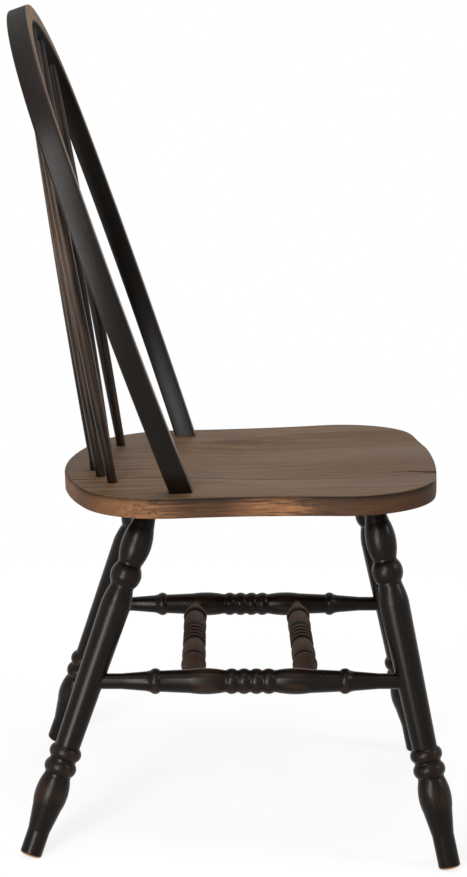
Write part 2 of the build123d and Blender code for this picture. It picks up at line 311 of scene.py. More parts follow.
@dataclass(frozen=True)
class Placement:
    """Where a piece lies: its own Z runs along its grain."""

    middle: Vector
    turn: Matrix
    reach: float = 0.0

    @classmethod
    def of_turned(cls, node: str, toward: Vector) -> "Placement":
        """Find the centre line of a turned piece from its surface.

        Args:
            node: The piece's node.
            toward: Rough direction of the end that counts as its far end.

        Returns:
            The piece's middle, its turn, and the length from the middle to its far end.
        """
        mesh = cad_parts[node].data
        mesh.calc_loop_triangles()
        points = np.array([v.co for v in mesh.vertices])
        triangles = np.array([t.vertices for t in mesh.loop_triangles])
        areas = np.array([t.area for t in mesh.loop_triangles])
        centres = points[triangles].mean(axis=1)
        middle = np.average(centres, axis=0, weights=areas)
        spread = np.cov((centres - middle).T, aweights=areas)
        axis = Vector(np.linalg.eigh(spread)[1][:, -1])
        axis *= 1 if axis.dot(toward) > 0 else -1
        reach = float(((points - middle) @ np.array(axis)).max())
        return cls(Vector(middle), axis.to_track_quat("Z", "Y").to_matrix(), reach)

    def coordinates(self, nodes: NodeBook) -> Value:
        """Object coordinates, counted from the piece's middle along its own axes.

        Args:
            nodes: The material's nodes.

        Returns:
            The piece's own coordinates, in metres.
        """
        place = nodes.value("ShaderNodeTexCoord", output="Object")
        sockets = {"Vector": place, "Location": self.middle, "Rotation": self.turn.to_euler()}
        return nodes.value("ShaderNodeMapping", {"vector_type": "TEXTURE"}, sockets)


def new_material(name: str) -> tuple[bpy.types.Material, NodeBook, bpy.types.Node]:
    """Start a material with one surface shader.

    Args:
        name: The material's name.

    Returns:
        The material, its nodes and its surface shader.
    """
    material = bpy.data.materials.new(name)
    material.use_nodes = True
    nodes = NodeBook(material.node_tree)
    return material, nodes, material.node_tree.nodes["Principled BSDF"]


@dataclass(frozen=True)
class Relief:
    """How strongly a finish shows the grain under it."""

    strength: float
    depth: float

    def normal(self, nodes: NodeBook, height: Value) -> Value:
        """Direction of a surface whose height changes.

        Args:
            nodes: The material's nodes.
            height: The height, where 1 stands for the relief's depth.

        Returns:
            The direction.
        """
        sockets = {"Height": height, "Strength": self.strength, "Distance": self.depth}
        return nodes.value("ShaderNodeBump", {}, sockets)


@dataclass(frozen=True)
class Coat:
    """What a stain gives a surface at each point."""

    colour: Value
    rough: Value
    normal: Value
    shine: float

    def cover(self, nodes: NodeBook, shader: bpy.types.Node) -> None:
        """Join the coat to a surface.

        Args:
            nodes: The material's nodes.
            shader: The surface shader.
        """
        sockets = {"Base Color": self.colour, "Roughness": self.rough, "Normal": self.normal}
        nodes.join(shader, sockets | {"Specular IOR Level": self.shine})


@dataclass(frozen=True)
class Turning:
    """Radii where a turned piece is rubbed or gets painted shade in a groove, with some stain gathered
    there, and whether its far end is bare.
    """

    crest: Span
    # Radii given painted shade in a groove, with some stain gathered there
    groove: Span | None = None
    groove_shade_reach: float = 0.0
    bare_end: bool = False


@dataclass(frozen=True)
class DarkStain:
    """Satin, nearly black stain, rubbed down to brown where hands and feet touch it."""

    # Colours, gloss and how far the brown shows
    ground: Colour = (9, 6, 4)
    warm: Colour = (22, 15, 10)
    rubbed: Colour = (66, 45, 31)
    bare: Colour = (158, 122, 90)
    # Painted shade in a groove, with some stain gathered there
    groove_shade_colour: Colour = (8, 6, 5)
    gloss: float = 0.23
    rub: float = 0.3
    shine: float = 0.11
    # Patterns of the wood and of the lathe, and what they do to gloss and height
    grain: Pattern = Pattern(420.0, (1.0, 1.0, 0.035), 4.0)
    pores: Pattern = Pattern(1500.0, (1.0, 1.0, 0.02))
    patches: Pattern = Pattern(75.0, (1.0, 1.0, 0.05), 3.0)
    lathe_lines: Pattern = Pattern(900.0, (0.15, 0.15, 1.0), rough=0.5)
    relief: Relief = Relief(0.2, 0.0006)
    relief_shares: Triple = (0.4, 0.6, 0.5)
    dulled: Triple = (0.05, 0.08, 0.06)
    # Where each pattern begins and ends to count, and its share
    warm_span: Span = (0.3, 0.7)
    warm_share: float = 0.6
    dull_patches: Span = (0.3, 0.7)
    worn_patches: Span = (0.38, 0.66)
    worn_grain: Span = (0.35, 0.65)
    worn_least: float = 0.35
    speck_patches: Span = (0.58, 0.72)
    speck_pores: Span = (0.58, 0.7)
    speck_share: float = 0.4
    # Lengths at the end of the painted groove shade and of a bare foot
    groove_shade_fade: float = 0.004
    bare_rim: Span = (0.0032, 0.0008)

    def on_turned(self, name: str, place: Placement, turning: Turning) -> bpy.types.Material:
        """Stain for a turned piece: rubbed crests, and perhaps painted shade in each groove and a bare
        end.

        Args:
            name: The material's name.
            place: Where the piece lies.
            turning: Where its crests are, and where each groove gets painted shade.

        Returns:
            The material.
        """
        material, nodes, shader = new_material(name)
        local = place.coordinates(nodes)
        x, y, along = nodes.axes(local)
        from_line = (x * x + y * y) ** 0.5
        crests = from_line.step(*turning.crest)
        groove_shade, bare = 0.0, 0.0
        if turning.groove:
            reach = turning.groove_shade_reach
            # Painted shade in the groove near each end, with some stain gathered there
            groove_shade = from_line.step(*turning.groove) * abs(along).step(reach, reach - self.groove_shade_fade)
        if turning.bare_end:
            start, end = self.bare_rim
            bare = along.step(place.reach - start, place.reach - end)
        tooled = self.lathe_lines.on(nodes, local)
        self.coat(nodes, local, crests, tooled, groove_shade, bare).cover(nodes, shader)
        return material

    def coat(
        self,
        nodes: NodeBook,
        local: Value,
        edges: Value,
        tooled: Value,
        groove_shade: Number = 0.0,
        bare: Number = 0.0,
    ) -> Coat:
        """Mix the stain for a surface.

        Args:
            nodes: The material's nodes.
            local: Coordinates whose Z runs along the grain.
            edges: Where the surface is touched most, from 0 to 1.
            tooled: Fine marks of the tool that shaped the surface.
            groove_shade: Painted shade in each groove, with some stain gathered there, from 0 to 1.
            bare: Where the wood is bare, from 0 to 1.

        Returns:
            The stain's coat.
        """
        grain, pores, patches = (p.on(nodes, local) for p in (self.grain, self.pores, self.patches))
        worn_grain = grain.step(*self.worn_grain).between(self.worn_least, 1.0)
        touched = edges * patches.step(*self.worn_patches) * worn_grain
        specks = patches.step(*self.speck_patches) * pores.step(*self.speck_pores) * self.speck_share
        warmth = grain.step(*self.warm_span) * self.warm_share
        colour = nodes.mix(warmth, linear(self.ground), linear(self.warm))
        colour = nodes.mix(touched.most(specks) * self.rub, colour, linear(self.rubbed))
        # Painted shade in each groove, with some stain gathered there
        colour = nodes.mix(groove_shade, colour, linear(self.groove_shade_colour))
        colour = nodes.mix(bare, colour, linear(self.bare))
        rough = self.gloss + blend(self.dulled, [patches.step(*self.dull_patches), touched, pores])
        height = blend(self.relief_shares, [tooled, grain, pores])
        return Coat(colour, rough, self.relief.normal(nodes, height), self.shine)


@dataclass(frozen=True)
class BowStain(DarkStain):
    """Dark stain on the bow: its grain follows the bend, and its front face is lighter brown, from wear
    at the crown and from painted light from the front.
    """

    # Colours and patterns
    # Lighter brown of the front face: wear at the crown, and painted light along the whole bow
    front_wear_and_light: Colour = (130, 106, 84)
    handled: Colour = (26, 19, 14)
    scraper_lines: Pattern = Pattern(700.0, (1.0, 1.0, 0.1), rough=0.5)
    streaks: Pattern = Pattern(260.0, (1.0, 1.0, 0.03), 4.0)
    # How far a face looks to the front of the hoop, and the length from its crown
    arris_start: Span = (0.12, 0.4)
    arris_end: Span = (0.98, 0.85)
    crown_span: Span = (0.42, 0.02)
    front_span: Span = (0.5, 0.95)
    side_span: Span = (0.5, 0.2)
    # Shares of the wear, and of the front face's painted light
    front_wear_and_light_at_feet: float = 0.12
    streak_span: Span = (0.3, 0.7)
    streak_least: float = 0.4
    handled_share: float = 0.5
    worn_dulled: float = 0.5
    handled_dulled: float = 0.35

    def on_bow(self, name: str, bow: "Bow") -> bpy.types.Material:
        """Stain for the bow.

        Args:
            name: The material's name.
            bow: The bow that wears it.

        Returns:
            The material.
        """
        material, nodes, shader = new_material(name)
        along = nodes.value("ShaderNodeAttribute", {"attribute_name": bow.ALONG}, output="Fac")
        around = nodes.value("ShaderNodeAttribute", {"attribute_name": bow.AROUND}, output="Fac")
        local = nodes.value("ShaderNodeCombineXYZ", {}, {0: around, 2: along})
        facing = nodes.value("ShaderNodeNewGeometry", output="Normal")
        toward = nodes.dot(facing, bow.front())
        edges = abs(toward).step(*self.arris_start) * abs(toward).step(*self.arris_end)
        coat = self.coat(nodes, local, edges, self.scraper_lines.on(nodes, local))

        crown = abs(along - bow.length() / 2).step(*self.crown_span)
        # The face turned to the front: wear at the crown, and painted light from the front along the
        # whole bow
        front_wear_and_light = toward.step(*self.front_span) * crown.between(self.front_wear_and_light_at_feet, 1.0)
        handled = crown * toward.step(*self.side_span)
        streaks = self.streaks.on(nodes, local).step(*self.streak_span).between(self.streak_least, 1.0)
        colour = nodes.mix(front_wear_and_light * streaks, coat.colour, linear(self.front_wear_and_light))
        colour = nodes.mix(handled * self.handled_share, colour, linear(self.handled))
        rough = coat.rough + self.worn_dulled * front_wear_and_light + self.handled_dulled * handled
        replace(coat, colour=colour, rough=rough).cover(nodes, shader)
        return material


@dataclass(frozen=True)
class SeatStain:
    """Brown stain on the seat: dull on top, lighter and darker in patches round its edge from rubbing and
    painted light, dark along the arris.
    """

    # Colours and gloss
    top: Colour = (110, 86, 63)
    top_dark: Colour = (66, 48, 34)
    edge: Colour = (125, 86, 56)
    edge_dark: Colour = (45, 30, 20)
    line: Colour = (20, 14, 10)
    gap: Colour = (12, 9, 7)
    gloss: float = 0.46
    shine: float = 0.08
    # Patterns of the wood, of wear and of the edge's painted light, how they are moved, and what they do
    # to gloss and height
    figure: Pattern = Pattern(130.0, (1.0, 1.0, 0.022), 4.0)
    grain: Pattern = Pattern(520.0, (1.0, 1.0, 0.01), 4.0, 0.65)
    pores: Pattern = Pattern(1600.0, (1.0, 1.0, 0.008))
    patches: Pattern = Pattern(11.0, detail=4.0)
    rubbing_and_light: Pattern = Pattern(5.0, detail=1.0, rough=0.5)
    board_shift: Triple = (7.0, 3.0, 5.0)
    rubbing_and_light_shift: Triple = (8.1, 15.0, 9.8)
    relief: Relief = Relief(0.22, 0.0008)
    relief_shares: Triple = (0.25, 0.5, 0.7)
    dulled: Triple = (0.14, 0.1, 0.5)
    # Where each pattern begins and ends to count, and its share
    streak_shares: Triple = (0.36, 0.42, 0.22)
    streak_span: Span = (0.39, 0.61)
    rubbing_and_light_span: Span = (0.41, 0.58)
    rubbing_and_light_least: float = 0.18
    patch_span: Span = (0.5, 0.75)
    shadow_share: float = 0.4
    # How far a face looks up or to an end, places in the plank, and shares there
    top_span: Span = (0.5, 0.9)
    end_span: Span = (0.15, 0.6)
    end_evened: float = 0.8
    arris_start: Span = (0.2, 0.45)
    arris_end: Span = (0.96, 0.75)
    arris_shares: Span = (0.95, 0.55)
    below_span: Span = (-0.003, -0.0105)
    below_shares: Span = (0.75, 0.25)
    front_span: Span = (0.02, -0.2)
    front_share: float = 0.8

    def on_board(self, name: str, seat: "Seat", node: str) -> bpy.types.Material:
        """Stain for one board, with its own run of grain.

        Args:
            name: The material's name.
            seat: The seat that the board belongs to.
            node: The board's node.

        Returns:
            The material.
        """
        material, nodes, shader = new_material(name)
        local = seat.placement().coordinates(nodes)
        across, depth, along = nodes.axes(local)
        facing = nodes.value("ShaderNodeNewGeometry", output="Normal")
        up = nodes.dot(facing, seat.up())
        top = up.step(*self.top_span)

        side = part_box(node)[0].x
        own = nodes.shift(local, tuple(side * by for by in self.board_shift))
        layers = [pattern.on(nodes, own) for pattern in (self.figure, self.grain, self.pores)]
        streak = blend(self.streak_shares, layers).step(*self.streak_span)
        ends = abs(nodes.dot(facing, seat.along())).step(*self.end_span)
        streak = streak + ends * (0.5 - streak) * self.end_evened
        patches = self.patches.on(nodes, local)
        # Broad patches round the edge: partly rubbing, partly painted light
        rubbed = self.rubbing_and_light.on(nodes, nodes.shift(local, self.rubbing_and_light_shift)).step(*self.rubbing_and_light_span)

        face = nodes.mix(streak, linear(self.top_dark), linear(self.top))
        # Light patches round the edge: partly rubbing, partly painted light
        light = streak * rubbed.between(self.rubbing_and_light_least, 1.0)
        rim = nodes.mix(light, linear(self.edge_dark), linear(self.edge))
        colour = nodes.mix(top, rim, face)
        shadow = patches.step(*self.patch_span).most(along.step(*self.front_span) * self.front_share)
        colour = nodes.mix(shadow * self.shadow_share, colour, linear(self.top_dark))
        arris = up.step(*self.arris_start) * up.step(*self.arris_end)
        arris = arris * rubbed.between(*self.arris_shares)
        below = depth.step(*self.below_span) * (1.0 - top) * rubbed.between(*self.below_shares)
        colour = nodes.mix(arris.most(below), colour, linear(self.line))
        openings = seat.openings(across, along, top)
        colour = nodes.mix(openings, colour, linear(self.gap))
        rough = self.gloss + blend(self.dulled, [patches, streak, openings])
        normal = self.relief.normal(nodes, blend(self.relief_shares, layers))
        Coat(colour, rough, normal, self.shine).cover(nodes, shader)
        return material


@dataclass(frozen=True)
class ScrewSteel:
    """Plain steel of the screws, dulled in patches of tarnish."""

    bright: Colour = (182, 179, 172)
    dull: Colour = (112, 106, 98)
    tarnish: Pattern = Pattern(420.0, detail=4.0)
    tarnish_span: Span = (0.4, 0.65)
    rough_span: Span = (0.28, 0.58)

    def on_screw(self, name: str) -> bpy.types.Material:
        """Steel with patches of tarnish.

        Args:
            name: The material's name.

        Returns:
            The material.
        """
        material, nodes, shader = new_material(name)
        tarnish = self.tarnish.on(nodes, nodes.value("ShaderNodeTexCoord", output="Object"))
        colour = nodes.mix(tarnish.step(*self.tarnish_span), linear(self.bright), linear(self.dull))
        rough = tarnish.between(*self.rough_span)
        nodes.join(shader, {"Base Color": colour, "Roughness": rough, "Metallic": 1.0})
        return material


def dress(node: str, material: bpy.types.Material) -> None:
    """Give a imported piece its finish.

    Args:
        node: The piece's node.
        material: Its finish.
    """
    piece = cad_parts[node]
    piece.data.materials.clear()
    piece.data.materials.append(material)
    log.info("%s wears %s", node, material.name)


def open_tree(name: str, inputs: dict[str, str]) -> tuple[NodeBook, list[Value]]:
    """Start a tree that makes a piece.

    Args:
        name: The tree's name.
        inputs: The kind of each input, by its name.

    Returns:
        The tree's nodes and its inputs.
    """
    tree = bpy.data.node_groups.new(name, "GeometryNodeTree")
    for label, kind in inputs.items():
        tree.interface.new_socket(label, in_out="INPUT", socket_type=f"NodeSocket{kind}")
    tree.interface.new_socket("Piece", in_out="OUTPUT", socket_type="NodeSocketGeometry")
    nodes = NodeBook(tree)
    given = nodes.add("NodeGroupInput")
    return nodes, [Value(nodes, given.outputs[i]) for i in range(len(inputs))]


def close_tree(nodes: NodeBook, piece: Value, finish: Value) -> bpy.types.NodeTree:
    """End a tree: shade its piece smooth, make it real and give it its finish.

    Args:
        nodes: The tree's nodes.
        piece: The piece.
        finish: The tree's input for the finish.

    Returns:
        The whole tree.
    """
    piece = nodes.value("GeometryNodeSetShadeSmooth", {}, {"Geometry": piece})
    piece = nodes.value("GeometryNodeRealizeInstances", {}, {"Geometry": piece})
    piece = nodes.value("GeometryNodeSetMaterial", {}, {"Geometry": piece, "Material": finish})
    nodes.add("NodeGroupOutput", {}, {"Piece": piece})
    return nodes.tree


def evaluated(base: bpy.types.Object, tree: bpy.types.NodeTree, sizes: dict) -> bpy.types.Mesh:
    """Run a tree on an object, keep the result as a plain mesh and remove the object.

    Args:
        base: The object whose mesh the tree starts from.
        tree: The tree.
        sizes: The tree's inputs, by name.

    Returns:
        The new mesh.
    """
    modifier = base.modifiers.new("shape", "NODES")
    modifier.node_group = tree
    for item in tree.interface.items_tree:
        if item.in_out == "INPUT" and item.name in sizes:
            modifier[item.identifier] = sizes[item.name]
    graph = bpy.context.evaluated_depsgraph_get()
    shaped = base.evaluated_get(graph)
    mesh = bpy.data.meshes.new_from_object(shaped, preserve_all_data_layers=True, depsgraph=graph)
    base.modifiers.remove(modifier)
    bpy.data.objects.remove(base)
    return mesh


def cut_off(mesh: bpy.types.Mesh, point: Vector, up: Vector) -> None:
    """Cut away what lies below a plane and close the cut.

    Args:
        mesh: The mesh, changed in place.
        point: A point on the plane.
        up: Direction of the side that stays.
    """
    shape = bmesh.new()
    shape.from_mesh(mesh)
    everything = shape.verts[:] + shape.edges[:] + shape.faces[:]
    cut = bmesh.ops.bisect_plane(shape, geom=everything, plane_co=point, plane_no=up, clear_inner=True)
    rims = [part for part in cut["geom_cut"] if isinstance(part, bmesh.types.BMEdge)]
    bmesh.ops.holes_fill(shape, edges=rims)
    shape.to_mesh(mesh)
    shape.free()


def stand_in(mesh: bpy.types.Mesh, name: str, node: str) -> None:
    """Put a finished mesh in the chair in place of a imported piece.

    Args:
        mesh: The mesh, already where it belongs.
        name: The new piece's name.
        node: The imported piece's node.
    """
    shape = bmesh.new()
    shape.from_mesh(mesh)
    bmesh.ops.recalc_face_normals(shape, faces=shape.faces[:])
    shape.to_mesh(mesh)
    shape.free()
    mesh.set_sharp_from_angle(angle=radians(SHARP_ANGLE))
    piece = bpy.data.objects.new(name, mesh)
    bpy.context.scene.collection.objects.link(piece)
    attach(piece, BODY)
    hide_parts(node)
    log.info("%s takes the place of %s, with %d faces", name, node, len(mesh.polygons))


def line_of(points: list[Vector]) -> bpy.types.Object:
    """Make an object whose mesh is one open line.

    Args:
        points: The line's points, in order.

    Returns:
        The object, in the scene.
    """
    mesh = bpy.data.meshes.new("line")
    mesh.from_pydata(points, [(i, i + 1) for i in range(len(points) - 1)], [])
    line = bpy.data.objects.new("line", mesh)
    bpy.context.scene.collection.objects.link(line)
    return line


@dataclass
class Outline:
    """Half of a turned piece's outline: places along it from its middle, and radii there."""

    points: list[tuple[float, float]]
    arc_points: int = 14

    @property
    def end(self) -> float:
        """Where the outline ends so far."""
        return self.points[-1][0]

    def run(self, length: float, diameter: float) -> None:
        """Go on straight to a new diameter.

        Args:
            length: Length along the piece.
            diameter: Diameter at its end.
        """
        self.points.append((self.end + length, diameter / 2))

    def swell(self, length: float, diameter: float, end_diameter: float, crest: float = 0.5) -> None:
        """Go on in an arc over a crest.

        Args:
            length: Length along the piece.
            diameter: Diameter at the crest.
            end_diameter: Diameter at its end.
            crest: Where the crest is, as a share of the length.
        """
        # Centre (x, y) and radius of the circle through the start a, the crest b and the end c
        (ax, ay), (bx, by) = self.points[-1], (self.end + crest * length, diameter / 2)
        cx, cy = self.end + length, end_diameter / 2
        a, b, c = ax * ax + ay * ay, bx * bx + by * by, cx * cx + cy * cy
        twice = 2 * (ax * (by - cy) + bx * (cy - ay) + cx * (ay - by))
        x = (a * (by - cy) + b * (cy - ay) + c * (ay - by)) / twice
        y = (a * (cx - bx) + b * (ax - cx) + c * (bx - ax)) / twice
        radius = hypot(ax - x, ay - y)
        first, last = atan2(ay - y, ax - x), atan2(cy - y, cx - x)
        for i in range(1, self.arc_points + 1):
            angle = first + (last - first) * i / self.arc_points
            self.points.append((x + radius * cos(angle), y + radius * sin(angle)))

    def rings(self, count: int, length: float, diameter: float, gap: float, gap_diameter: float) -> None:
        """Go on in rounded rings with a groove after each.

        Args:
            count: Number of rings.
            length: Length of a ring.
            diameter: Diameter of a ring's crest.
            gap: Length of a groove.
            gap_diameter: Diameter of a groove's floor.
        """
        for _ in range(count):
            self.swell(length, diameter, gap_diameter)
            self.run(gap, gap_diameter)

    def whole(self) -> list[tuple[float, float]]:
        """The outline from end to end, both halves alike."""
        return [(-x, r) for x, r in reversed(self.points) if x > 0] + self.points


@dataclass
class Lathe:
    """Turns pieces from their outlines."""

    RADIUS: ClassVar[str] = "turned_radius"

    sides: int = 56

    @cached_property
    def tree(self) -> bpy.types.NodeTree:
        """Tree that turns a line with a radius on each point into a round piece.

        Returns:
            The tree, with the number of sides and the finish as inputs.
        """
        inputs = {"Line": "Geometry", "Sides": "Int", "Finish": "Material"}
        nodes, (line, sides, finish) = open_tree("turned_piece", inputs)
        curve = nodes.value("GeometryNodeMeshToCurve", {}, {"Mesh": line})
        ring = nodes.value("GeometryNodeCurvePrimitiveCircle", {}, {"Resolution": sides, "Radius": 1.0})
        settings = {"data_type": "FLOAT"}
        radius = nodes.value("GeometryNodeInputNamedAttribute", settings, {"Name": self.RADIUS})
        sockets = {"Curve": curve, "Profile Curve": ring, "Scale": radius, "Fill Caps": True}
        return close_tree(nodes, nodes.value("GeometryNodeCurveToMesh", {}, sockets), finish)

    def turn(self, node: str, outline: Outline, place: Placement, finish: bpy.types.Material) -> None:
        """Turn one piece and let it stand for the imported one.

        Args:
            node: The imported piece's node.
            outline: Half of its outline.
            place: Where the piece lies.
            finish: Its finish.
        """
        whole = outline.whole()
        line = line_of([Vector((0.0, 0.0, x)) for x, _ in whole])
        radii = line.data.attributes.new(self.RADIUS, "FLOAT", "POINT")
        radii.data.foreach_set("value", [radius for _, radius in whole])
        mesh = evaluated(line, self.tree, {"Sides": self.sides, "Finish": finish})
        mesh.transform(Matrix.Translation(place.middle) @ place.turn.to_4x4())
        stand_in(mesh, f"turned_{node}", node)


@dataclass(frozen=True)
class Stretcher:
    """What every stretcher has: rings at its middle and a tenon at each end."""

    tenon_diameter: float
    tenon_length: float
    ring_length: float
    ring_diameter: float
    gap_diameter: float
    gap: float = 0.002
    rings: int = 2

    def ringed(self) -> Outline:
        """Half of the outline, as far as the rings go."""
        half = Outline([(0.0, self.gap_diameter / 2)])
        half.run(self.gap / 2, self.gap_diameter)
        half.rings(self.rings, self.ring_length, self.ring_diameter, self.gap, self.gap_diameter)
        return half

    def tenoned(self, half: Outline, reach: float) -> Outline:
        """End half an outline in a taper and a tenon.

        Args:
            half: The outline so far.
            reach: Length from the middle to the end of the tenon.

        Returns:
            The whole half.
        """
        half.run(reach - self.tenon_length - half.end, self.tenon_diameter)
        half.run(self.tenon_length, self.tenon_diameter)
        return half


@dataclass(frozen=True)
class SideStretcher(Stretcher):
    """A side stretcher: rings at its middle, a swell, a bead and a taper each way."""

    tenon_diameter: float = 0.0188
    tenon_length: float = 0.044
    ring_length: float = 0.0128
    ring_diameter: float = 0.0308
    gap_diameter: float = 0.0268
    swell_length: float = 0.042
    swell_diameter: float = 0.0312
    swell_end: float = 0.0286
    swell_crest: float = 0.42
    waist_diameter: float = 0.0256
    bead_rise: float = 0.00025
    bead_length: float = 0.0115
    bead_diameter: float = 0.0310
    bead_foot: float = 0.0264
    flare_length: float = 0.005
    flare_diameter: float = 0.0236

    def outline(self, reach: float) -> Outline:
        """Half of the outline.

        Args:
            reach: Length from the middle to the end of the tenon.

        Returns:
            The outline.
        """
        half = self.ringed()
        half.swell(self.swell_length, self.swell_diameter, self.swell_end, self.swell_crest)
        bead_start = (half.end + reach - self.tenon_length - self.bead_length) / 2
        half.run(bead_start - self.gap - half.end, self.waist_diameter)
        half.run(self.gap, self.waist_diameter)
        half.run(self.bead_rise, self.bead_foot)
        half.swell(self.bead_length, self.bead_diameter, self.bead_foot)
        half.run(self.flare_length, self.flare_diameter)
        return self.tenoned(half, reach)


@dataclass(frozen=True)
class CrossStretcher(Stretcher):
    """A cross stretcher: rings at its middle, a barrel, a collar and a taper each way."""

    tenon_diameter: float = 0.016
    tenon_length: float = 0.027
    ring_length: float = 0.0124
    ring_diameter: float = 0.0294
    gap_diameter: float = 0.0258
    barrel_diameter: float = 0.0300
    barrel_end: float = 0.0258
    neck_length: float = 0.003
    neck_diameter: float = 0.0240
    collar_rise: float = 0.000375
    collar_edge: float = 0.0282
    collar_length: float = 0.013
    collar_diameter: float = 0.0308
    collar_end: float = 0.0290
    collar_crest: float = 0.4
    taper_length: float = 0.040

    def outline(self, reach: float) -> Outline:
        """Half of the outline.

        Args:
            reach: Length from the middle to the end of the tenon.

        Returns:
            The outline.
        """
        half = self.ringed()
        collar_start = reach - self.tenon_length - self.taper_length - self.collar_length
        half.swell(collar_start - self.neck_length - half.end, self.barrel_diameter, self.barrel_end)
        half.run(self.neck_length / 2, self.neck_diameter)
        half.run(self.neck_length / 2, self.neck_diameter)
        half.run(self.collar_rise, self.collar_edge)
        half.swell(self.collar_length, self.collar_diameter, self.collar_end, self.collar_crest)
        return self.tenoned(half, reach)


@dataclass
class Seat:
    """Three boards glued side by side and saddled as one plank, with a split at its front."""

    MIDDLE: ClassVar[str] = "seat_board_middle"

    tilt: float = 3.25
    joint_half_width: float = 0.0017
    joint_span: Span = (-0.05, -0.01)
    closed_joint: float = 0.25
    open_joint: float = 1.0
    tight_joint: float = 0.35
    split_place: float = -0.072
    split_half_width: float = 0.0036
    split_bend: float = 0.017
    split_span: Span = (-0.168, -0.228)
    edge_width_share: float = 0.25
    soft_rim: float = 0.0005
    finish: SeatStain = SeatStain()
    boards: tuple[str, ...] = ("left", "middle", "right")

    def up(self) -> Vector:
        """Direction square to the plank's flat face."""
        return Vector((0.0, sin(radians(self.tilt)), cos(radians(self.tilt))))

    def along(self) -> Vector:
        """Direction of the grain, to the rear of the plank."""
        return Vector((0.0, cos(radians(self.tilt)), -sin(radians(self.tilt))))

    def joints(self) -> tuple[float, float]:
        """Where the right and the left joint lie across the plank."""
        low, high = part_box(self.MIDDLE)
        return low.x, high.x

    def placement(self) -> Placement:
        """The plank's own axes: X across it, Z along its grain to the rear."""
        low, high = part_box(self.MIDDLE)
        across = Vector((1.0, 0.0, 0.0))
        turn = Matrix((across, self.along().cross(across), self.along())).transposed()
        return Placement((low + high) / 2, turn)

    def openings(self, across: Value, along: Value, top: Value) -> Value:
        """Dark lines where the joints have opened to the rear and the front has split.

        Args:
            across: Place across the plank.
            along: Place along its grain, counted to the rear from its middle.
            top: Where the surface is the plank's top, from 0 to 1.

        Returns:
            The lines, from 0 to 1.
        """
        narrow = top.between(self.edge_width_share, 1.0)
        split = along.step(*self.split_span)
        from_split = abs(across - (self.split_place - self.split_bend * split))
        lines = (self.split_half_width * split * narrow - from_split).step(0.0, self.soft_rim)
        opened = along.step(*self.joint_span)
        for joint, widest in zip(self.joints(), (self.open_joint, self.tight_joint)):
            line = (self.joint_half_width * narrow - abs(across - joint)).step(0.0, self.soft_rim)
            lines = lines.most(line * opened.between(self.closed_joint, widest))
        return lines

    def build(self) -> None:
        """Dress each board."""
        for board in self.boards:
            node = f"seat_board_{board}"
            dress(node, self.finish.on_board(f"{node}_stain", self, node))


@dataclass
class Undercarriage:
    """Four turned legs, two side stretchers and two cross stretchers."""

    leg: Turning = Turning(crest=(0.0172, 0.0199), bare_end=True)
    side: Turning = Turning(crest=(0.0140, 0.0158))
    # The cross stretchers get painted shade in the groove behind each collar
    cross: Turning = Turning(crest=(0.0142, 0.0154), groove=(0.0144, 0.0135), groove_shade_reach=0.1205)
    lathe: Lathe = field(default_factory=Lathe)
    finish: DarkStain = DarkStain()
    cross_finish: DarkStain = DarkStain(
        ground=(52, 37, 28), warm=(72, 53, 41), rubbed=(92, 68, 53), gloss=0.5, shine=0.03
    )

    def build(self) -> None:
        """Dress the legs along their centre lines, and turn the stretchers."""
        down, back, left = Vector((0, 0, -1)), Vector((0, 1, 0)), Vector((1, 0, 0))
        for hand in Hand:
            for end in End:
                node = f"leg_{end.value}_{hand.value}"
                place = Placement.of_turned(node, down)
                dress(node, self.finish.on_turned(f"{node}_stain", place, self.leg))
            node = f"side_stretcher_{hand.value}"
            place = Placement.of_turned(node, back)
            finish = self.finish.on_turned(f"{node}_stain", place, self.side)
            self.lathe.turn(node, SideStretcher().outline(place.reach), place, finish)
        for end in End:
            node = f"cross_stretcher_{end.value}"
            place = Placement.of_turned(node, left)
            finish = self.cross_finish.on_turned(f"{node}_stain", place, self.cross)
            self.lathe.turn(node, CrossStretcher().outline(place.reach), place, finish)


